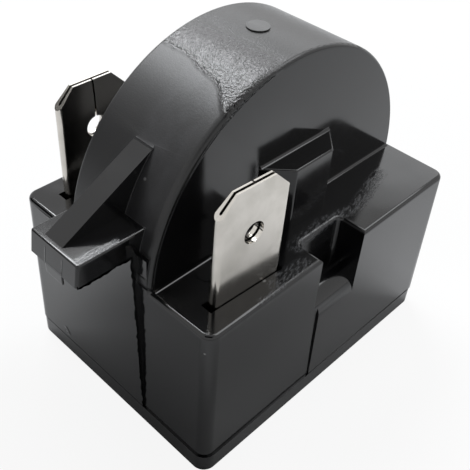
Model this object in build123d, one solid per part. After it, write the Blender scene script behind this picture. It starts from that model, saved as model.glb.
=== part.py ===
from build123d import *
from math import acos, asin, atan2, cos, degrees, hypot, pi, radians, sin
import os

# A plug-on starter for a small refrigeration compressor. Millimetres.
# X runs along the front face, Y from the front face to the rear face, Z up.
# The origin is the middle of the rectangular underside.

# Housing, outside
base_width = 28.0
base_depth = 20.9
base_height = 15.25
corner_radius = 1.0
edge_round = 0.35
wall = 1.2
top_wall = 1.5

# Dome that stands across the base and holds the disc
dome_setback = 0.1
dome_axis_height = 14.75
dome_length = 8.9
dome_wall = 1.3
dome_front_round = 0.35
dome_rear_round = 0.3
dome_foot_round = 0.25
stop_angle = 40.0
stop_width = 1.2

# Near corner of the housing, where the mould insert leaves the faces set back
panel_left_depth = 0.1
panel_front_depth = 0.2
panel_right_end = 12.2

# Proud wall under the ear, with its leaning front edge
proud_foot = 0.1
proud_head = 0.35
proud_foot_start = 6.9
proud_head_start = 7.4
proud_from_rear = 1.2

# Ear on the left side and the gusset over it
ear_reach = 4.5
ear_width = 5.0
ear_offset = -0.55
ear_top = 19.8
ear_thickness = 1.75
ear_draft = 0.25
ear_round = 0.2
ear_top_round = 0.15
gusset_width = 1.8
gusset_offset = -0.1
gusset_inset = 0.35
gusset_height = 4.25
gusset_round = 0.25

# Tapered buttress between the dome and the notch
buttress_offset = 0.3
buttress_back_width = 8.05
buttress_front_width = 4.1
buttress_reach = 1.95
buttress_height = 5.65
buttress_round = 0.25
buttress_top_round = 0.15

# Low round marks left by the mould: on the crown and near the front blade
crown_mark = (0.4, 0.3, 0.87, 0.1)
corner_mark = (-9.6, -5.55, 0.8, 0.06)
mark_root = 0.4

# Notch in the front wall
notch_offset = 0.1
notch_width = 4.8
notch_depth = 2.55
notch_floor = 11.0
notch_floor_round = 2.2
notch_corner_round = 0.4
notch_wall = 0.8

# Base plate
plate_thickness = 1.8
plate_overhang = 0.12
plate_edge_round = 0.2
rim_height = 1.1
rim_wall = 1.0
rim_fit = 0.1
cradle_length = 10.0
cradle_cheek = 0.9
cradle_height = 5.2

# Resistor disc
disc_diameter = 19.5
disc_thickness = 2.8
disc_edge_chamfer = 0.2
disc_fit = 0.1
stop_fit = 0.15

# Blade terminals, folded from thin strip
blade_width = 6.3
blade_thickness = 0.8
blade_sheet = 0.3
blade_rise = 9.15
blade_chamfer = 1.45
blade_hole = 1.75
blade_hole_rise = 5.3
blade_seam = 0.14
lead_height = 1.3
lead_depth = 0.15
blade_from_left = 5.42
front_blade_turn = -2.7
front_blade_tilt = 0.85
blade_below_wall = 0.6
slot_end_clearance = 0.3
slot_face_clearance = 0.1
neck_width = 4.8
strip_height = 3.9
strip_left_gap = 0.5
strip_seat_gap = 0.1

# Sockets for the two compressor pins
pin_diameter = 3.2
pin_from_front = 4.18
pin_from_right = 5.6
pin_squeeze = 0.05
pin_hole_clearance = 0.3
pin_hole_lead = 0.6
socket_sheet = 0.4
socket_height = 6.0
socket_gap = 35.0
socket_seat_gap = 0.1
tail_angle = 270.0
tail_height = 3.2
tail_end_gap = 0.4
collar_height = 1.1
collar_wall = 0.7
clip_sheet = 0.33
clip_height = 3.4
clip_fit = 0.02
clip_opening = 75.0
clip_turn = 20.0

# Contact springs, one on each face of the disc
spring_sheet = 0.25
spring_width = 5.2
spring_from_right = 13.8
spring_slot = 1.0
spring_foot = 2.4
spring_bend = 0.6
contact_height = 13.4
contact_radius = 1.2
contact_sweep = 50.0
contact_gap = 0.01

# Rivets that join strip, spring and socket
rivet_diameter = 1.5
rivet_head = 2.4
rivet_head_height = 0.45
rivet_head_chamfer = 0.2
rivet_from_edge = 1.2

# Places worked out from the sizes above
left_face = -base_width / 2
right_face = base_width / 2
front_face = -base_depth / 2
dome_radius = base_width / 2 - dome_setback
dome_front = -dome_length / 2
dome_inner_radius = dome_radius - dome_wall
dome_top = dome_axis_height + dome_radius
cavity_top = base_height - top_wall
ear_underside = ear_top - ear_thickness
ear_front = ear_offset - ear_width / 2
ear_rear = ear_offset + ear_width / 2
blade_tip = base_height + blade_rise
blade_foot = cavity_top - blade_below_wall
blade_x = left_face + blade_from_left
barrel_inner = pin_diameter / 2 - pin_squeeze
barrel_outer = barrel_inner + socket_sheet
socket_x = right_face - pin_from_right
socket_y = front_face + pin_from_front
tail_front = socket_y - barrel_outer
strip_front = tail_front - blade_sheet
strip_bottom = plate_thickness + rim_height + strip_seat_gap
strip_top = strip_bottom + strip_height
strip_end = socket_x - barrel_outer - strip_left_gap
disc_face = -disc_thickness / 2
spring_x = right_face - spring_from_right
tail_reach = socket_x - spring_x - spring_width / 2 - tail_end_gap
collar_top = plate_thickness + collar_height
socket_bottom = collar_top + socket_seat_gap
rivet_height = strip_bottom + rivet_from_edge
socket_rivet_x = socket_x - tail_reach + rivet_head / 2 + strip_seat_gap


def block(x0, x1, y0, y1, z0, z1):
    """Box between two corners."""
    return Pos((x0 + x1) / 2, (y0 + y1) / 2, (z0 + z1) / 2) * Box(x1 - x0, y1 - y0, z1 - z0)


def along_y(radius, y0, y1, z):
    """Cylinder on the dome's axis line, at height z."""
    return Pos(0, (y0 + y1) / 2, z) * Rot(90, 0, 0) * Cylinder(radius, y1 - y0)


def side_profile(face, y0, y1):
    """Prism along Y from a face drawn in X and Z."""
    return extrude(Plane.XZ.offset(-y0) * face, -(y1 - y0))


# Housing: one black moulding, open underneath
def base_block():
    outline = RectangleRounded(base_width, base_depth, corner_radius)
    body = Pos(0, 0, plate_thickness) * extrude(outline, base_height - plate_thickness)
    return body - corner_panel() - notch_cutter()


def corner_panel():
    """Thin layer that the near corner lacks, from the groove round to the left face."""
    far = base_width + base_depth
    inner_left = left_face + panel_left_depth
    inner_front = front_face + panel_front_depth
    inner = Pos(inner_left + far / 2, inner_front + far / 2, 0) * RectangleRounded(far, far, corner_radius)
    layer = block(left_face - wall, left_face + panel_right_end, front_face - wall,
                  front_face + proud_head_start, plate_thickness, base_height)
    return layer - extrude(inner, base_height)


def notch_cutter():
    """Recess in the front wall whose floor rolls over into the wall."""
    back = front_face + notch_depth
    out = front_face - wall
    roll_start = front_face + notch_floor_round
    roll_centre = notch_floor - notch_floor_round
    rolled = notch_floor_round * cos(pi / 4)
    outline = Polyline((front_face, roll_centre), (out, roll_centre), (out, base_height + wall),
                       (back, base_height + wall), (back, notch_floor), (roll_start, notch_floor))
    roll = ThreePointArc((roll_start, notch_floor), (roll_start - rolled, roll_centre + rolled),
                         (front_face, roll_centre))
    cutter = extrude(Plane.YZ * make_face(outline + roll), notch_width / 2, both=True)
    back_edges = cutter.edges().filter_by(Axis.Z).sort_by(Axis.Y)[-2:]
    return Pos(notch_offset, 0, 0) * fillet(back_edges, notch_corner_round)


def rounded_base():
    """Base block with its upper outer edges broken."""
    body = base_block()
    top = body.faces().sort_by(Axis.Z)[-1]
    return fillet(top.outer_wire().edges(), edge_round)


def dome():
    arch = Pos(0, dome_axis_height) * Circle(dome_radius)
    legs = Pos(0, (dome_axis_height + plate_thickness) / 2)
    legs = legs * Rectangle(2 * dome_radius, dome_axis_height - plate_thickness)
    lower = Pos(0, plate_thickness - dome_radius) * Rectangle(4 * dome_radius, 2 * dome_radius)
    body = side_profile(arch + legs - lower, dome_front, -dome_front)
    rim = body.edges().filter_by(GeomType.CIRCLE)
    body = fillet(rim.group_by(Axis.Y)[0], dome_front_round)
    rim = body.edges().filter_by(GeomType.CIRCLE)
    return fillet(rim.group_by(Axis.Y)[-1], dome_rear_round)


def foot_fillet(half, height):
    """Small hollow fillet between the dome's front face and a flat at this height."""
    bar = block(-half, half, dome_front - dome_foot_round, dome_front, height, height + dome_foot_round)
    centre = Pos(0, dome_front - dome_foot_round, height + dome_foot_round)
    return bar - centre * Rot(0, 90, 0) * Cylinder(dome_foot_round, 3 * dome_radius)


def dome_feet():
    """The fillets along the top of the base, in front of the dome and behind it."""
    front = foot_fillet(dome_radius - dome_front_round, base_height)
    return front + mirror(front, about=Plane.XZ)


def proud_wall():
    """Wall that stands out under the ear and runs flush towards the rear corner."""
    inner = left_face + wall / 2
    end = -front_face - proud_from_rear
    sections = []
    for height, step, start in [(plate_thickness, proud_foot, proud_foot_start),
                                (ear_underside, proud_head, proud_head_start)]:
        start_y = front_face + start
        outline = Polyline((left_face - step, start_y), (inner, start_y), (inner, end), (left_face, end),
                           close=True)
        sections.append(Pos(0, 0, height) * make_face(outline))
    above_block = block(left_face - wall, inner, ear_rear, end, base_height - edge_round, ear_top)
    return loft(sections) - above_block


def ear():
    outer = left_face - ear_reach
    inner = -dome_inner_radius
    outline = Polyline((outer - ear_draft, ear_underside), (outer, ear_top), (inner, ear_top),
                       (inner, ear_underside), close=True)
    body = side_profile(make_face(outline), ear_front, ear_rear)
    outer_edges = body.faces().sort_by(Axis.X)[0].edges().sort_by(Axis.Z)[1:3]
    body = fillet(outer_edges, ear_round)
    top = body.faces().sort_by(Axis.Z)[-1]
    return fillet(top.edges().sort_by(Axis.X)[:-1], ear_top_round)


def ear_shoulder():
    """Flat of the left face carried up between the dome's front rim and the ear."""
    return block(left_face + panel_left_depth, left_face + wall, dome_front + dome_front_round, ear_front,
                 cavity_top, ear_underside)


def gusset():
    """Triangular rib from the ear's outer edge up to the dome."""
    foot_x = left_face - ear_reach + gusset_inset
    head_z = ear_top + gusset_height
    head_x = -dome_radius * cos(asin((head_z - dome_axis_height) / dome_radius))
    root = ear_underside + ear_thickness / 2
    outline = Polyline((foot_x, root), (foot_x, ear_top), (head_x, head_z),
                       (head_x + dome_wall, head_z - dome_wall), (-dome_inner_radius, root), close=True)
    half = gusset_width / 2
    body = side_profile(make_face(outline), gusset_offset - half, gusset_offset + half)
    slope = body.faces().sort_by(Axis.Z)[-1]
    long_edges = slope.edges().filter_by(GeomType.LINE).sort_by(SortBy.LENGTH)[-2:]
    return fillet(long_edges, gusset_round)


def buttress():
    back = dome_front + dome_wall / 2
    front = dome_front - buttress_reach
    flare = (buttress_back_width - buttress_front_width) / 2
    outline = Polyline((-buttress_back_width / 2, back), (-buttress_back_width / 2, dome_front),
                       (-buttress_back_width / 2 + flare, front), (buttress_back_width / 2 - flare, front),
                       (buttress_back_width / 2, dome_front), (buttress_back_width / 2, back), close=True)
    body = extrude(make_face(outline), top_wall / 2 + buttress_height)
    front_edges = body.edges().filter_by(Axis.Z).sort_by(Axis.Y)[:2]
    body = fillet(front_edges, buttress_round)
    top = body.faces().sort_by(Axis.Z)[-1]
    top_edges = top.edges().sort_by(Axis.Y)[:-3]
    body = fillet(top_edges, buttress_top_round)
    body = Pos(0, 0, base_height - top_wall / 2) * body
    body += foot_fillet(buttress_back_width / 2 - buttress_top_round, base_height + buttress_height)
    return Pos(buttress_offset, 0, 0) * body


def housing_cavity():
    inner_x = base_width / 2 - wall
    inner_y = base_depth / 2 - wall
    lower = block(-inner_x, inner_x, -inner_y, inner_y, 0, cavity_top)
    half = dome_length / 2 - dome_wall
    upper = along_y(dome_inner_radius, -half, half, dome_axis_height)
    legs = block(-dome_inner_radius, dome_inner_radius, -half, half, 0, dome_axis_height)
    guard_half = notch_width / 2 + notch_wall
    guard_bottom = notch_floor - notch_floor_round - notch_wall
    guard = block(notch_offset - guard_half, notch_offset + guard_half, front_face,
                  front_face + notch_depth + notch_wall, guard_bottom, cavity_top)
    room = lower - guard + upper + legs
    for angle in (90 - stop_angle, 90 + stop_angle):
        room -= disc_stop(angle, half)
    return room


def disc_stop(angle, half):
    """Rib inside the dome that keeps the disc from riding up."""
    start = disc_diameter / 2 + stop_fit
    length = dome_inner_radius + dome_wall / 2 - start
    rib = Pos(start + length / 2, 0, 0) * Box(length, 2 * half, stop_width)
    return Pos(0, 0, dome_axis_height) * Rot(0, -angle, 0) * rib


def mould_mark(mark, seat):
    """Low round disc that stands on the surface at height seat."""
    x, y, radius, height = mark
    return Pos(x, y, seat + (height - mark_root) / 2) * Cylinder(radius, height + mark_root)


def blade_slot(side, turn):
    middle = strip_front + blade_thickness / 2
    cut = Box(blade_width + 2 * slot_end_clearance, blade_thickness + 2 * slot_face_clearance, 3 * top_wall)
    return Pos(blade_x, side * middle, base_height - top_wall / 2) * Rot(0, 0, turn) * cut


def make_housing():
    body = rounded_base() + dome() + dome_feet() + proud_wall() + ear() + ear_shoulder() + gusset()
    body += buttress() + mould_mark(crown_mark, dome_top) + mould_mark(corner_mark, base_height)
    return body - housing_cavity() - blade_slot(1, front_blade_turn) - blade_slot(-1, 0)


# Base plate: closes the housing, cradles the disc and guides the pins
def make_base_plate():
    outline = RectangleRounded(base_width + 2 * plate_overhang, base_depth + 2 * plate_overhang,
                               corner_radius + plate_overhang)
    plate = extrude(outline, plate_thickness)
    plate = fillet(plate.faces().sort_by(Axis.Z)[0].edges(), plate_edge_round)
    rim_x = base_width - 2 * (wall + rim_fit)
    rim_y = base_depth - 2 * (wall + rim_fit)
    rim = Rectangle(rim_x, rim_y) - Rectangle(rim_x - 2 * rim_wall, rim_y - 2 * rim_wall)
    plate += Pos(0, 0, plate_thickness) * extrude(rim, rim_height)
    groove_half = disc_thickness / 2 + disc_fit
    cheek = groove_half + cradle_cheek
    cradle = block(-cradle_length / 2, cradle_length / 2, -cheek, cheek, plate_thickness,
                   plate_thickness + cradle_height)
    plate += cradle - along_y(disc_diameter / 2 + disc_fit, -groove_half, groove_half, dome_axis_height)
    hole_radius = pin_diameter / 2 + pin_hole_clearance
    for y in (socket_y, -socket_y):
        plate += Pos(socket_x, y, collar_top / 2) * Cylinder(hole_radius + collar_wall, collar_top)
        plate -= Pos(socket_x, y, collar_top / 2) * Cylinder(hole_radius, 2 * collar_top)
        lead = Cone(hole_radius + pin_hole_lead, hole_radius, pin_hole_lead)
        plate -= Pos(socket_x, y, pin_hole_lead / 2) * lead
    return plate


# Resistor disc
def make_disc():
    body = along_y(disc_diameter / 2, disc_face, -disc_face, dome_axis_height)
    return chamfer(body.edges().filter_by(GeomType.CIRCLE), disc_edge_chamfer)


# Front terminal: blade folded double, neck and carrying strip in one stamping
def folded_blade(turn, tilt):
    """Blade whose two flaps meet in a seam on the side that faces the dome."""
    height = blade_tip - blade_foot
    slit = blade_thickness - 2 * blade_sheet
    section = SlotOverall(blade_width, blade_thickness)
    section -= SlotOverall(blade_width - 2 * blade_sheet, slit)
    section -= Pos(0, blade_thickness / 2) * Rectangle(blade_seam, blade_thickness)
    body = extrude(section, height)
    for side in (1, -1):
        corner = Pos(side * blade_width / 2, 0, height) * Rot(0, 45, 0)
        body -= corner * Box(blade_chamfer * 2 ** 0.5, 2 * blade_thickness, blade_chamfer * 2 ** 0.5)
        body -= lead_cutter(side, height)
    hole = Pos(0, 0, base_height + blade_hole_rise - blade_foot) * Rot(90, 0, 0)
    body -= hole * Cylinder(blade_hole / 2, 2 * blade_thickness)
    return Pos(blade_x, strip_front + blade_thickness / 2, blade_foot) * Rot(tilt, 0, turn) * body


def lead_cutter(side, height):
    """Wedge that thins the tip of the blade on one face."""
    face = side * blade_thickness / 2
    outline = Polyline((face, height - lead_height), (face - side * lead_depth, height), (2 * face, height),
                       (2 * face, height - lead_height), close=True)
    return extrude(Plane.YZ * make_face(outline), blade_width, both=True)


def make_terminal(turn, tilt):
    strip_left = left_face + wall + strip_left_gap
    neck = block(blade_x - neck_width / 2, blade_x + neck_width / 2, strip_front, strip_front + blade_sheet,
                 strip_top, blade_foot + blade_sheet)
    strip = block(strip_left, strip_end, strip_front, strip_front + blade_sheet, strip_bottom, strip_top)
    body = folded_blade(turn, tilt) + neck + strip
    for x in (spring_x, socket_rivet_x):
        body -= rivet_hole(x)
    return body


def rivet_hole(x):
    shank = Cylinder(rivet_diameter / 2, 4 * blade_thickness)
    return Pos(x, strip_front, rivet_height) * Rot(90, 0, 0) * shank


# Contact spring: a forked leaf from the strip to the face of the disc
def spring_path():
    foot_y = tail_front + spring_sheet / 2
    centre_y = disc_face - contact_gap - spring_sheet / 2 - contact_radius
    bend_z = strip_bottom + spring_foot
    reach = hypot(centre_y - foot_y, contact_height - bend_z)
    start = atan2(contact_height - bend_z, centre_y - foot_y) - acos(-contact_radius / reach)
    touch = (centre_y + contact_radius * cos(start), contact_height + contact_radius * sin(start))
    leg = FilletPolyline((foot_y, strip_bottom), (foot_y, bend_z), touch, radius=spring_bend)
    turn = contact_sweep - degrees(start)
    curl = CenterArc((centre_y, contact_height), contact_radius, degrees(start), turn)
    return leg + curl


def make_spring():
    body = extrude(Plane.YZ * trace(spring_path(), spring_sheet), spring_width / 2, both=True)
    fork_start = strip_bottom + spring_foot + spring_bend
    body -= block(-spring_slot / 2, spring_slot / 2, front_face, 0, fork_start, base_height + wall)
    return Pos(spring_x, 0, 0) * body - rivet_hole(spring_x)


# Pin socket: a strip rolled into a barrel, with a flat tail
def make_socket():
    ring = Circle(barrel_outer) - Circle(barrel_inner)
    reach = 2 * barrel_outer
    open_angle = radians(tail_angle - socket_gap)
    edge = (reach * cos(open_angle), reach * sin(open_angle))
    mouth = Polyline((0, 0), edge, (-reach, -reach), (0, -reach), close=True)
    barrel = Pos(0, 0, socket_bottom) * extrude(ring - make_face(mouth), socket_height)
    tail_bottom = strip_bottom
    tail = block(-tail_reach, 0, -barrel_outer, -barrel_inner, tail_bottom, tail_bottom + tail_height)
    return Pos(socket_x, socket_y, 0) * (barrel + tail) - rivet_hole(socket_rivet_x)


# Spring clip: an open steel ring that closes the socket on the pin
def make_clip():
    inner = barrel_outer + clip_fit
    ring = Circle(inner + clip_sheet) - Circle(inner)
    reach = 2 * barrel_outer
    last = radians(tail_angle + clip_turn)
    first = last - radians(clip_opening)
    mouth = Polyline((0, 0), (reach * cos(first), reach * sin(first)), (-reach, -2 * reach),
                     (reach * cos(last), reach * sin(last)), close=True)
    bottom = socket_bottom + (socket_height - clip_height) / 2
    return Pos(socket_x, socket_y, bottom) * extrude(ring - make_face(mouth), clip_height)


# Rivets: two on each side, all alike but for their grip
def rivet(x, grip):
    shank = Cylinder(rivet_diameter / 2, grip)
    head = Cylinder(rivet_head / 2, rivet_head_height)
    head = chamfer(head.faces().sort_by(Axis.Z)[-1].edges(), rivet_head_chamfer)
    end = (grip + rivet_head_height) / 2
    body = shank + Pos(0, 0, end) * head + Pos(0, 0, -end) * Rot(180, 0, 0) * head
    return Pos(x, strip_front + grip / 2, rivet_height) * Rot(90, 0, 0) * body


def make_rivets():
    front = [rivet(spring_x, blade_sheet + spring_sheet), rivet(socket_rivet_x, blade_sheet + socket_sheet)]
    return front + [mirror(each, about=Plane.XZ) for each in front]


def front_and_rear(name, shape):
    """The rear piece is the mirror image of the front one."""
    return {f"front_{name}": shape, f"rear_{name}": mirror(shape, about=Plane.XZ)}


nodes = {"housing": make_housing(), "base_plate": make_base_plate(), "resistor_disc": make_disc()}
nodes["front_terminal"] = make_terminal(front_blade_turn, front_blade_tilt)
nodes["rear_terminal"] = mirror(make_terminal(0, 0), about=Plane.XZ)
nodes.update(front_and_rear("contact_spring", make_spring()))
nodes.update(front_and_rear("pin_socket", make_socket()))
nodes.update(front_and_rear("socket_clip", make_clip()))
nodes["rivets"] = Compound(children=make_rivets())

os.makedirs("parts", exist_ok=True)
for node, shape in nodes.items():
    export_step(shape, f"parts/{node}.step")
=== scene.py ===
import random
from math import cos, pi, radians, sin

import bmesh
import bpy
from mathutils import Matrix, Vector


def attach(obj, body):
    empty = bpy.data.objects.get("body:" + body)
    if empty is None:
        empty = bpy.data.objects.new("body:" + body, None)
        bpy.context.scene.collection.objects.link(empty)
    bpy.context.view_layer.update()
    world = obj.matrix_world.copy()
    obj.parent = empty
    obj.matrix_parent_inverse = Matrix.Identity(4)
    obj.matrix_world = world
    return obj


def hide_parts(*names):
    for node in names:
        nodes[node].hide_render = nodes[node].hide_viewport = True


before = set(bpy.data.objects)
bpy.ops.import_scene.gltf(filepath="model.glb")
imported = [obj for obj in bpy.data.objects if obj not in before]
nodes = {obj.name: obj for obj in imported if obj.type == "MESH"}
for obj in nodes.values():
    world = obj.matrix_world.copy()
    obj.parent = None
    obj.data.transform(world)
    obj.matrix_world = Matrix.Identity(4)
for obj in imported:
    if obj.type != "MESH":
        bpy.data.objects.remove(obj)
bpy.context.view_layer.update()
mm = 0.001


# The viewpoint: a camera close above the front left corner, slightly rolled.
# It stands where the photograph's perspective puts it.
camera_place = Vector((-36.62, -31.59, 51.95)) * mm
camera_azimuth = -48.73
camera_elevation = 41.25
camera_roll = 4.59
camera_lens = 56.89

camera_data = bpy.data.cameras.new("viewpoint")
camera_data.sensor_width = 36.0
camera_data.lens = camera_lens
camera_data.clip_start = 2 * mm
camera_data.clip_end = 5.0
camera = bpy.data.objects.new("viewpoint", camera_data)
bpy.context.scene.collection.objects.link(camera)
turn = Matrix.Rotation(radians(camera_azimuth), 4, "Z")
tip = Matrix.Rotation(radians(90.0 - camera_elevation), 4, "X")
roll = Matrix.Rotation(radians(camera_roll), 4, "Z")
camera.matrix_world = Matrix.Translation(camera_place) @ turn @ tip @ roll
bpy.context.scene.camera = camera
bpy.context.scene.view_settings.view_transform = "Standard"


# Housing: one black thermoset moulding, pressed in a polished tool whose dome was
# spark eroded, so the flats are glossy and the round of the dome is finely grained.
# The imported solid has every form, and is shown as a merged and smoothly shaded copy.
dome_axis_height = 14.75
dome_radius = 13.9
base_top = 15.25
merge_distance = 0.0005
sharp_from = 34.0
gusset_foot = Vector((-18.1, -0.1, 19.8)) * mm
gusset_foot_reach = 0.3


def runs_smooth(edge):
    """True on flats and rounds, false at true corners and along the gusset's foot."""
    middle = (edge.verts[0].co + edge.verts[1].co) / 2
    if not edge.is_manifold or (middle - gusset_foot).length < gusset_foot_reach * mm:
        return False
    return edge.calc_face_angle(0.0) < radians(sharp_from)


def merged_copy(node, name):
    """New object with the node's own shape, its loose triangles joined."""
    mesh = nodes[node].data.copy()
    mesh.name = name
    mesh.materials.clear()
    form = bmesh.new()
    form.from_mesh(mesh)
    bmesh.ops.remove_doubles(form, verts=form.verts, dist=merge_distance * mm)
    for face in form.faces:
        face.smooth = True
    for edge in form.edges:
        edge.smooth = runs_smooth(edge)
    form.to_mesh(mesh)
    form.free()
    for layer in ("custom_normal", "sharp_face"):
        if layer in mesh.attributes:
            mesh.attributes.remove(mesh.attributes[layer])
    piece = bpy.data.objects.new(name, mesh)
    bpy.context.scene.collection.objects.link(piece)
    weighting = piece.modifiers.new("even flats", "WEIGHTED_NORMAL")
    weighting.mode = "FACE_AREA"
    weighting.weight = 50
    weighting.keep_sharp = True
    return piece


def new_finish(name):
    """Empty material with its surface shader, and the piece's own coordinates."""
    finish = bpy.data.materials.new(name)
    finish.use_nodes = True
    tree = finish.node_tree
    shader = tree.nodes["Principled BSDF"]
    place = tree.nodes.new("ShaderNodeTexCoord")
    return finish, tree, shader, place.outputs["Object"]


def math_of(tree, kind, *values, clamp=False):
    """Math nodes that take two or more values in turn; each is a socket or a number."""
    found = values[0]
    for value in values[1:]:
        node = tree.nodes.new("ShaderNodeMath")
        node.operation = kind
        node.use_clamp = clamp
        for slot, side in zip(node.inputs, (found, value)):
            if isinstance(side, (int, float)):
                slot.default_value = side
            else:
                tree.links.new(side, slot)
        found = node.outputs[0]
    return found


def vector_of(tree, kind, first, second, outlet="Vector"):
    """One Vector Math node; each side is a socket, a vector or a number to scale by."""
    node = tree.nodes.new("ShaderNodeVectorMath")
    node.operation = kind
    slots = [node.inputs[0], node.inputs["Scale"] if kind == "SCALE" else node.inputs[1]]
    for slot, value in zip(slots, (first, second)):
        if isinstance(value, bpy.types.NodeSocket):
            tree.links.new(value, slot)
        else:
            slot.default_value = value
    return node.outputs[outlet]


def mixed_colour(tree, factor, first, second):
    """Colour between two colours, by a socket."""
    node = tree.nodes.new("ShaderNodeMix")
    node.data_type = "RGBA"
    tree.links.new(factor, node.inputs["Factor"])
    for name, colour in (("A", first), ("B", second)):
        if isinstance(colour, tuple):
            node.inputs[name].default_value = colour
        else:
            tree.links.new(colour, node.inputs[name])
    return node.outputs["Result"]


def ramp_between(tree, value, low, high, out_low=0.0, out_high=1.0):
    """Smooth step of a socket from out_low at low to out_high at high."""
    node = tree.nodes.new("ShaderNodeMapRange")
    node.interpolation_type = "SMOOTHSTEP"
    tree.links.new(value, node.inputs["Value"])
    node.inputs["From Min"].default_value = low
    node.inputs["From Max"].default_value = high
    node.inputs["To Min"].default_value = out_low
    node.inputs["To Max"].default_value = out_high
    return node.outputs["Result"]


def ramp_along(tree, way, span, out_first=0.0, out_last=1.0):
    """Smooth step along a coordinate, over a span in millimetres."""
    return ramp_between(tree, way, span[0] * mm, span[1] * mm, out_first, out_last)


def drawn_out(tree, coordinates, lengths, turn=0.0):
    """Coordinates that draw a pattern out by these lengths, turned about the height in degrees."""
    node = tree.nodes.new("ShaderNodeMapping")
    node.vector_type = "TEXTURE"
    tree.links.new(coordinates, node.inputs["Vector"])
    node.inputs["Rotation"].default_value = (0.0, 0.0, radians(turn))
    node.inputs["Scale"].default_value = lengths
    return node.outputs["Vector"]


def grain_of(tree, coordinates, grain, detail, roughness):
    """Noise whose lumps are about grain millimetres across."""
    node = tree.nodes.new("ShaderNodeTexNoise")
    tree.links.new(coordinates, node.inputs["Vector"])
    node.inputs["Scale"].default_value = 1.0 / (grain * mm)
    node.inputs["Detail"].default_value = detail
    node.inputs["Roughness"].default_value = roughness
    return node.outputs["Fac"]


def relief_of(tree, shader, layers):
    """Bumps of height sockets, one on another; the full range of each is its depth in millimetres."""
    normal = None
    for height, depth in layers:
        node = tree.nodes.new("ShaderNodeBump")
        node.inputs["Distance"].default_value = depth * mm
        node.inputs["Strength"].default_value = 1.0
        tree.links.new(height, node.inputs["Height"])
        if normal is not None:
            tree.links.new(normal, node.inputs["Normal"])
        normal = node.outputs["Normal"]
    tree.links.new(normal, shader.inputs["Normal"])


# Marks on the moulding, each a straight run: its two ends and its reach, in millimetres.
full_share = 0.25
scuff_runs = [
    ((-2.7, -7.9, 15.25), (1.1, -7.5, 15.25), 0.95),
    ((1.1, -7.5, 15.25), (3.9, -8.0, 15.25), 0.80),
    ((-6.8, -9.4, 15.25), (-3.6, -9.5, 15.25), 0.90),
    ((-8.7, -9.95, 15.25), (-6.4, -9.95, 15.25), 0.40),
    ((4.6, -8.1, 15.25), (9.6, -6.6, 15.25), 0.90),
    ((-18.1, -2.7, 19.8), (-15.2, -2.8, 19.8), 0.50),
]
speck_runs = [
    ((-7.14, -8.77, 15.25), (-7.10, -8.77, 15.25), 0.18),
    ((-13.77, -9.74, 13.63), (-13.77, -9.72, 13.63), 0.12),
    ((-11.66, -1.49, 22.31), (-11.66, -1.47, 22.31), 0.16),
    ((-6.61, -3.43, 26.97), (-7.04, -3.96, 26.73), 0.085),
    ((-7.04, -3.96, 26.73), (-6.87, -4.44, 26.52), 0.085),
]
raised_runs = [
    ((-14.03, 6.39, 2.43), (-14.03, 6.60, 2.70), 0.38),
    ((-18.56, 0.30, 19.30), (-18.74, 0.30, 18.10), 0.08),
    ((-18.56, -1.50, 19.30), (-18.74, -1.50, 18.10), 0.08),
]


def near_run(tree, place, run):
    """One within full_share of a run's reach, falling to none at its reach."""
    first, last, reach = Vector(run[0]) * mm, Vector(run[1]) * mm, run[2] * mm
    whole = last - first
    offset = vector_of(tree, "SUBTRACT", place, first)
    share = vector_of(tree, "DOT_PRODUCT", offset, whole / whole.length_squared, "Value")
    nearest = vector_of(tree, "SCALE", whole, math_of(tree, "MULTIPLY", share, 1.0, clamp=True))
    apart = vector_of(tree, "DISTANCE", offset, nearest, "Value")
    return ramp_between(tree, apart, reach * full_share, reach, 1.0, 0.0)


def near_any(tree, place, runs):
    """The nearest of several runs."""
    return math_of(tree, "MAXIMUM", *[near_run(tree, place, run) for run in runs])


# Spans of the dome's skin, measured from its axis and up from the ground.
skin_starts = (dome_radius - 0.35, dome_radius - 0.1)
skin_ends = (dome_radius + 0.06, dome_radius + 0.12)
skin_foot = (base_top + 0.1, base_top + 0.5)


def dome_band(tree, across, up):
    """One on the curved skin of the dome, none on the flats."""
    above_axis = math_of(tree, "SUBTRACT", up, dome_axis_height * mm)
    across_square = math_of(tree, "MULTIPLY", across, across)
    squares = math_of(tree, "ADD", across_square, math_of(tree, "MULTIPLY", above_axis, above_axis))
    radius = math_of(tree, "POWER", squares, 0.5)
    outside = ramp_along(tree, radius, skin_starts)
    within = ramp_along(tree, radius, skin_ends, 1.0, 0.0)
    return math_of(tree, "MULTIPLY", outside, within, ramp_along(tree, up, skin_foot))


# The line where the coarser grain begins: over each span along Y it moves between two places in X.
line_lean = ((-0.9, 1.8), (-5.6, -5.0))
line_bend = ((-4.5, -1.3), (-1.7, 0.0))
line_waves = (1.4, 3.0, 0.6)
line_wander = 0.5
line_softness = 0.28


def grained_side(tree, across, along):
    """One to the right of the line where the dome's coarser grain begins, none to its left."""
    bends = [
        ramp_along(tree, along, span, first * mm, last * mm)
        for span, (first, last) in (line_lean, line_bend)
    ]
    only_along = tree.nodes.new("ShaderNodeCombineXYZ")
    tree.links.new(along, only_along.inputs["Y"])
    waves = grain_of(tree, only_along.outputs["Vector"], *line_waves)
    wander = math_of(tree, "MULTIPLY", waves, line_wander * mm)
    centred = math_of(tree, "SUBTRACT", wander, line_wander / 2 * mm)
    line = math_of(tree, "ADD", *bends, centred)
    past_line = math_of(tree, "SUBTRACT", across, line)
    return ramp_along(tree, past_line, (-line_softness, line_softness))


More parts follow.
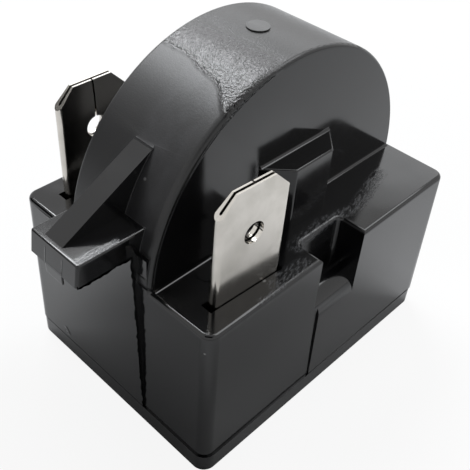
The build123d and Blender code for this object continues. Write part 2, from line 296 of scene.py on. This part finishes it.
# Colours and roughness of the moulding, from polished flats to the coarse grain near the crown.
plastic_ior = 1.52
plastic_black = (0.0045, 0.0045, 0.0050, 1.0)
# Lighter colour of a painted sheen on the dome's smooth skin.
plastic_painted_sheen = (0.020, 0.020, 0.022, 1.0)
plastic_scuffed = (0.040, 0.042, 0.047, 1.0)
speck_pale = (0.20, 0.20, 0.20, 1.0)
flat_roughness = 0.12
flat_variation = (-0.03, 0.05)
scuff_roughness = 0.35
dome_roughness = 0.42
grained_roughness = 0.19
crown_roughness = 0.30
crown_fade = 0.8

# Noise of each kind: lumps in millimetres, detail and roughness; and where it starts and is full.
ripple_grain = (5.0, 1.0, 0.5)
fine_grain = (0.11, 2.0, 0.6)
coarse_grain = (0.20, 2.0, 0.6)
gloss_grain = (3.5, 3.0, 0.5)
gloss_range = (0.3, 0.75)
cloud_grain = (1.6, 4.0, 0.6)
cloud_range = (0.25, 0.7)
cloud_lengths = (1.0, 1.0, 3.0)
streak_grain = (0.15, 4.0, 0.75)
streak_range = (0.42, 0.66)
streak_lengths = (3.5, 1.0, 1.0)
streak_turn = 16.0

# Spans on the dome, in millimetres along Y for the painted sheen and the rim, else across it.
painted_sheen_rear = (0.1, 1.5)
painted_sheen_front = (-4.1, -2.7)
rim_span = (-4.9, -3.7)
flank_span = (-4.5, -1.5)
crown_span = (-4.6, -0.8)

ripple_depth = 0.010
fine_depth = 0.009
coarse_depth = 0.074
step_depth = 0.022
rim_depth = 0.26
scuff_depth = 0.008
raised_depth = 0.06


def moulded_black():
    """Glossy black on the flats, satin on the dome, with coarser grain right of the line."""
    finish, tree, shader, place = new_finish("black_moulding")
    shader.inputs["IOR"].default_value = plastic_ior
    parts = tree.nodes.new("ShaderNodeSeparateXYZ")
    tree.links.new(place, parts.inputs[0])
    across, along, up = [parts.outputs[axis] for axis in "XYZ"]
    band = dome_band(tree, across, up)
    grained = math_of(tree, "MULTIPLY", grained_side(tree, across, along), band)
    crown_side = ramp_along(tree, across, crown_span)

    smooth_skin = math_of(tree, "SUBTRACT", band, grained)
    # Painted sheen: the smooth skin is lightened in a band that fades out towards the rear and before the
    # front rim, broken up by drawn-out cloudy noise.
    rear_end = ramp_along(tree, along, painted_sheen_rear, 1.0, 0.0)
    front_end = ramp_along(tree, along, painted_sheen_front)
    clouds = grain_of(tree, drawn_out(tree, place, cloud_lengths), *cloud_grain)
    cloudy = ramp_between(tree, clouds, *cloud_range)
    painted_sheen_mask = math_of(tree, "MULTIPLY", smooth_skin, rear_end, front_end, cloudy)
    streaks = grain_of(tree, drawn_out(tree, place, streak_lengths, streak_turn), *streak_grain)
    streaked = ramp_between(tree, streaks, *streak_range)
    scuffed = math_of(tree, "MULTIPLY", near_any(tree, place, scuff_runs), streaked)
    colour = mixed_colour(tree, painted_sheen_mask, plastic_black, plastic_painted_sheen)
    colour = mixed_colour(tree, scuffed, colour, plastic_scuffed)
    colour = mixed_colour(tree, near_any(tree, place, speck_runs), colour, speck_pale)
    tree.links.new(colour, shader.inputs["Base Color"])

    gloss = ramp_between(tree, grain_of(tree, place, *gloss_grain), *gloss_range, *flat_variation)
    scuff_dulling = math_of(tree, "MULTIPLY", scuffed, scuff_roughness)
    flats = math_of(tree, "ADD", gloss, flat_roughness, scuff_dulling)
    satin = math_of(tree, "MULTIPLY", math_of(tree, "SUBTRACT", dome_roughness, flats), band)
    duller = math_of(tree, "MULTIPLY", crown_side, crown_roughness - grained_roughness)
    from_satin = math_of(tree, "ADD", duller, grained_roughness - dome_roughness)
    coarser = math_of(tree, "MULTIPLY", grained, from_satin)
    tree.links.new(math_of(tree, "ADD", flats, satin, coarser), shader.inputs["Roughness"])

    fading = math_of(tree, "SUBTRACT", 1.0, math_of(tree, "MULTIPLY", crown_side, crown_fade))
    left_flank = ramp_along(tree, across, flank_span, 1.0, 0.0)
    relief_of(tree, shader, [
        (grain_of(tree, place, *ripple_grain), ripple_depth),
        (math_of(tree, "MULTIPLY", grain_of(tree, place, *fine_grain), band), fine_depth),
        (math_of(tree, "MULTIPLY", grain_of(tree, place, *coarse_grain), grained, fading), coarse_depth),
        (grained, step_depth),
        (math_of(tree, "MULTIPLY", left_flank, band, ramp_along(tree, along, rim_span)), rim_depth),
        (math_of(tree, "MULTIPLY", scuffed, streaks), scuff_depth),
        (near_any(tree, place, raised_runs), raised_depth),
    ])
    return finish


# The foot of the shown copy spreads a little, to just short of the base plate's edge: the height of its
# ring, the half sizes outside which it moves, and for X and Y its farthest place and its largest move.
foot_height = 1.85
foot_inner = (13.0, 9.4)
foot_spread = ((14.10, 0.10), (10.53, 0.18))
foot_reach = 1.5


def spread_foot(mesh):
    """Moves the outer ring at the bottom of a mesh outwards."""
    for vertex in mesh.vertices:
        place = vertex.co
        outer = any(abs(place[axis]) > foot_inner[axis] * mm for axis in (0, 1))
        if not outer or place.z >= foot_height * mm:
            continue
        for axis, (limit, flare) in enumerate(foot_spread):
            side = abs(place[axis])
            if side > (limit - foot_reach) * mm:
                place[axis] *= max(1.0, min(1.0 + flare * mm / side, limit * mm / side))


black_moulding = moulded_black()
housing = merged_copy("housing", "moulded_housing")
spread_foot(housing.data)
housing.data.materials.append(black_moulding)
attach(housing, "root")
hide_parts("housing")


# Flash: the thin ragged skin that was squeezed out where the parts of the mould meet.
# One fin runs down the step in the left wall and one hangs under the ear's front edge, and a
# short stub of the gate hangs below the ear's outer face.
fin_thickness = 0.06
fin_seed = 7
fin_evenness = 0.55
gate_size = (0.16, 1.8, 1.00)
gate_middle = (-18.66, -0.6, 17.75)
gate_round = 0.06


def placed_piece(name, form):
    """New black piece on the housing, made from a bmesh."""
    mesh = bpy.data.meshes.new(name)
    form.to_mesh(mesh)
    form.free()
    piece = bpy.data.objects.new(name, mesh)
    bpy.context.scene.collection.objects.link(piece)
    piece.data.materials.append(black_moulding)
    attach(piece, "root")


def ragged_fin(name, start, end, outwards, rooted, least, most, steps):
    """Thin fin along a line, rooted below it, with an uneven free edge."""
    start, end, outwards = Vector(start), Vector(end), Vector(outwards)
    form = bmesh.new()
    roots = [start.lerp(end, index / steps) - outwards * rooted for index in range(steps + 1)]
    line = [form.verts.new(root * mm) for root in roots]
    run = [form.edges.new(pair) for pair in zip(line, line[1:])]
    drawn = bmesh.ops.extrude_edge_only(form, edges=run)["geom"]
    chance = random.Random(fin_seed + steps)
    reach = least
    for tip in [item for item in drawn if isinstance(item, bmesh.types.BMVert)]:
        reach = fin_evenness * reach + (1.0 - fin_evenness) * chance.uniform(least, most)
        tip.co += outwards * (rooted + reach) * mm
    bmesh.ops.solidify(form, geom=form.faces[:], thickness=fin_thickness * mm)
    bmesh.ops.recalc_face_normals(form, faces=form.faces)
    placed_piece(name, form)


ragged_fin("seam_flash", start=(-14.33, -3.07, 18.00), end=(-14.10, -3.55, 1.85), outwards=(-1.0, 0.0, 0.0),
           rooted=0.15, least=-0.05, most=0.22, steps=90)
ragged_fin("ear_flash", start=(-18.68, -3.04, 18.09), end=(-14.35, -3.04, 18.09), outwards=(0.0, 0.0, -1.0),
           rooted=0.10, least=0.02, most=0.42, steps=26)
gate_form = bmesh.new()
gate_scale = Matrix.Diagonal((*[side * mm for side in gate_size], 1.0))
bmesh.ops.create_cube(gate_form, size=1.0, matrix=gate_scale)
bmesh.ops.translate(gate_form, verts=gate_form.verts, vec=Vector(gate_middle) * mm)
bmesh.ops.bevel(gate_form, geom=gate_form.edges[:], affect="EDGES", offset=gate_round * mm, segments=2,
                profile=0.5, material=-1)
placed_piece("gate_stub", gate_form)


# Base plate: the same black thermoset, snapped in from below.
# Only the line round its edge shows, so its copy has the housing's finish.
plate = merged_copy("base_plate", "base_plate_moulding")
plate.data.materials.append(black_moulding)
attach(plate, "root")
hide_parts("base_plate")


# Terminals: tinned strip, stamped and folded double into a blade.
# The tin is satin, drawn along the strip, with dull and bright patches from handling.
patch_range = (0.35, 0.7)
patch_detail = (3.0, 0.6)
line_lengths = (1.0, 1.0, 12.0)
line_detail = (2.0, 0.5)
line_depth = 0.0015
patch_spread = 0.05


def metal_finish(name, bright, dull, roughness, patch, line):
    """Sheet metal with cloudy patches and fine lines along its height; their sizes are in millimetres."""
    finish, tree, shader, place = new_finish(name)
    shader.inputs["Metallic"].default_value = 1.0
    clouds = ramp_between(tree, grain_of(tree, place, patch, *patch_detail), *patch_range)
    tree.links.new(mixed_colour(tree, clouds, bright, dull), shader.inputs["Base Color"])
    spread = math_of(tree, "MULTIPLY", math_of(tree, "SUBTRACT", clouds, 0.5), patch_spread)
    tree.links.new(math_of(tree, "ADD", spread, roughness), shader.inputs["Roughness"])
    lines = grain_of(tree, drawn_out(tree, place, line_lengths), line, *line_detail)
    relief_of(tree, shader, [(lines, line_depth)])
    return finish


tinned = metal_finish("tinned_strip", bright=(0.66, 0.63, 0.585, 1.0), dull=(0.56, 0.535, 0.49, 1.0),
                      roughness=0.17, patch=2.2, line=0.12)
for side in ("front", "rear"):
    blade = merged_copy(f"{side}_terminal", f"{side}_blade_terminal")
    blade.data.materials.append(tinned)
    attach(blade, "root")
    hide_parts(f"{side}_terminal")


# Inner pieces: hidden by the housing, each with the finish of the real one.
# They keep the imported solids' shapes.
ceramic_grain = (0.4, 4.0, 0.7)
ceramic_range = (0.4, 0.7)
ceramic_dark = (0.13, 0.12, 0.115, 1.0)
ceramic_pale = (0.24, 0.23, 0.22, 1.0)
ceramic_roughness = 0.75
ceramic_depth = 0.010


def ceramic_finish():
    """Matt grey ceramic with fine specks."""
    finish, tree, shader, place = new_finish("disc_ceramic")
    specks = ramp_between(tree, grain_of(tree, place, *ceramic_grain), *ceramic_range)
    tree.links.new(mixed_colour(tree, specks, ceramic_dark, ceramic_pale), shader.inputs["Base Color"])
    shader.inputs["Roughness"].default_value = ceramic_roughness
    relief_of(tree, shader, [(specks, ceramic_depth)])
    return finish


spring_steel = metal_finish("spring_steel", bright=(0.55, 0.55, 0.56, 1.0), dull=(0.42, 0.42, 0.43, 1.0),
                            roughness=0.22, patch=1.5, line=0.10)
tinned_brass = metal_finish("tinned_brass", bright=(0.68, 0.63, 0.50, 1.0), dull=(0.55, 0.50, 0.38, 1.0),
                            roughness=0.30, patch=1.5, line=0.12)
plain_brass = metal_finish("plain_brass", bright=(0.72, 0.55, 0.26, 1.0), dull=(0.55, 0.40, 0.18, 1.0),
                           roughness=0.32, patch=0.8, line=0.15)
inner_finishes = {"resistor_disc": ceramic_finish(), "rivets": plain_brass}
for side in ("front", "rear"):
    inner_finishes[f"{side}_contact_spring"] = spring_steel
    inner_finishes[f"{side}_socket_clip"] = spring_steel
    inner_finishes[f"{side}_pin_socket"] = tinned_brass
for node, finish in inner_finishes.items():
    nodes[node].data.materials.clear()
    nodes[node].data.materials.append(finish)


# Studio: a pale floor in a white room, with painted shade left of the part and painted light before it, a
# strong soft box high behind, a weak one below it on the right and a fill from the front right. Two dark
# cards show only in the gloss. The room is white where seen and a weak fill elsewhere.
white = (1.0, 1.0, 1.0, 1.0)
room_fill = 0.24
room_seen_by = ["Is Camera Ray", "Is Glossy Ray", "Is Transmission Ray"]
floor_half = 0.6
floor_drop = 0.02
floor_plain = (0.80, 0.80, 0.80, 1.0)
floor_painted_shade = (0.38, 0.38, 0.38, 1.0)
floor_painted_light = (0.90, 0.90, 0.90, 1.0)
# Runs along which the floor's colour carries painted shade and painted light: their two ends and their
# reach, in millimetres.
painted_shade_run = ((-19.0, -5.0, 0.0), (-22.0, 3.0, 0.0), 13.0)
painted_light_run = ((10.0, -14.0, 0.0), (24.0, -24.0, 0.0), 13.0)
floor_roughness = 0.9
floor_white_share = 0.90
lamp_tint = (0.955, 0.975, 1.0)
lamp_aim = Vector((0.0, 0.0, 12.0)) * mm
card_black = (0.02, 0.02, 0.02, 1.0)


def white_where_seen(tree, plain, seen_by, share):
    """Mixes a shader towards plain white light for the kinds of ray named."""
    rays = tree.nodes.new("ShaderNodeLightPath")
    light = tree.nodes.new("ShaderNodeEmission")
    light.inputs["Color"].default_value = white
    light.inputs["Strength"].default_value = 1.0
    seen = math_of(tree, "MAXIMUM", *[rays.outputs[kind] for kind in seen_by])
    mix = tree.nodes.new("ShaderNodeMixShader")
    tree.links.new(math_of(tree, "MULTIPLY", seen, share), mix.inputs[0])
    tree.links.new(plain, mix.inputs[1])
    tree.links.new(light.outputs[0], mix.inputs[2])
    return mix.outputs[0]


def matt_finish(name):
    """Material without gloss."""
    finish, tree, shader, place = new_finish(name)
    shader.inputs["Specular IOR Level"].default_value = 0.0
    return finish, tree, shader, place


def flat_board(name, form, finish):
    """Stage object from a bmesh."""
    mesh = bpy.data.meshes.new(name)
    form.to_mesh(mesh)
    form.free()
    mesh.materials.append(finish)
    board = bpy.data.objects.new(name, mesh)
    bpy.context.scene.collection.objects.link(board)
    return board


room = bpy.data.worlds.new("white_room")
room.use_nodes = True
room_tree = room.node_tree
room_plain = room_tree.nodes["Background"]
room_plain.inputs["Color"].default_value = white
room_plain.inputs["Strength"].default_value = room_fill
room_out = white_where_seen(room_tree, room_plain.outputs[0], room_seen_by, 1.0)
room_tree.links.new(room_out, room_tree.nodes["World Output"].inputs["Surface"])
bpy.context.scene.world = room

floor_finish, floor_tree, floor_shader, floor_place = matt_finish("pale_floor")
# Painted shade left of the part and painted light before it, mixed into the floor's colour.
painted_shade_share = near_run(floor_tree, floor_place, painted_shade_run)
painted_light_share = near_run(floor_tree, floor_place, painted_light_run)
floor_colour = mixed_colour(floor_tree, painted_shade_share, floor_plain, floor_painted_shade)
floor_colour = mixed_colour(floor_tree, painted_light_share, floor_colour, floor_painted_light)
floor_tree.links.new(floor_colour, floor_shader.inputs["Base Color"])
floor_shader.inputs["Roughness"].default_value = floor_roughness
floor_out = white_where_seen(floor_tree, floor_shader.outputs[0], ["Is Camera Ray"], floor_white_share)
floor_tree.links.new(floor_out, floor_tree.nodes["Material Output"].inputs["Surface"])
floor_form = bmesh.new()
bmesh.ops.create_grid(floor_form, x_segments=1, y_segments=1, size=floor_half)
bmesh.ops.translate(floor_form, verts=floor_form.verts, vec=(0.0, 0.0, -floor_drop * mm))
flat_board("pale_floor", floor_form, floor_finish)


def towards_of(azimuth, elevation):
    """Direction from the part; azimuth from +X towards +Y, both angles in degrees."""
    flat = cos(radians(elevation))
    return Vector((flat * cos(radians(azimuth)), flat * sin(radians(azimuth)), sin(radians(elevation))))


def soft_box(name, azimuth, elevation, distance, width, height, radiance):
    """Lamp aimed at the part; sizes in metres."""
    lamp = bpy.data.lights.new(name, "AREA")
    lamp.shape = "RECTANGLE"
    lamp.size = width
    lamp.size_y = height
    lamp.energy = radiance * pi * width * height
    lamp.color = lamp_tint
    box = bpy.data.objects.new(name, lamp)
    bpy.context.scene.collection.objects.link(box)
    towards = towards_of(azimuth, elevation)
    box.location = towards * distance + lamp_aim
    box.rotation_euler = towards.to_track_quat("Z", "Y").to_euler()


def dark_card(name, azimuth, elevation, distance, width, height):
    """Dark board facing the part, seen only in its gloss; sizes in metres."""
    form = bmesh.new()
    bmesh.ops.create_grid(form, x_segments=1, y_segments=1, size=0.5)
    bmesh.ops.scale(form, verts=form.verts, vec=(width, height, 1.0))
    towards = towards_of(azimuth, elevation)
    turned = towards.to_track_quat("Z", "Y").to_matrix().to_4x4()
    bmesh.ops.transform(form, verts=form.verts, matrix=Matrix.Translation(towards * distance) @ turned)
    card = flat_board(name, form, card_finish)
    card.visible_camera = False
    card.visible_diffuse = False
    card.visible_shadow = False


soft_box("soft_box_key", azimuth=74.0, elevation=54.5, distance=0.36, width=0.22, height=0.10, radiance=17.5)
soft_box("soft_box_low", azimuth=34.0, elevation=28.0, distance=0.40, width=0.34, height=0.13, radiance=1.4)
soft_box("soft_box_front", azimuth=-12.0, elevation=60.0, distance=0.40, width=0.20, height=0.20,
         radiance=3.4)
card_finish, _, card_shader, _ = matt_finish("dark_card")
card_shader.inputs["Base Color"].default_value = card_black
card_shader.inputs["Roughness"].default_value = 1.0
dark_card("dark_card_rear", azimuth=127.0, elevation=16.0, distance=0.30, width=0.17, height=0.17)
dark_card("dark_card_camera", azimuth=216.0, elevation=58.0, distance=0.30, width=0.22, height=0.17)
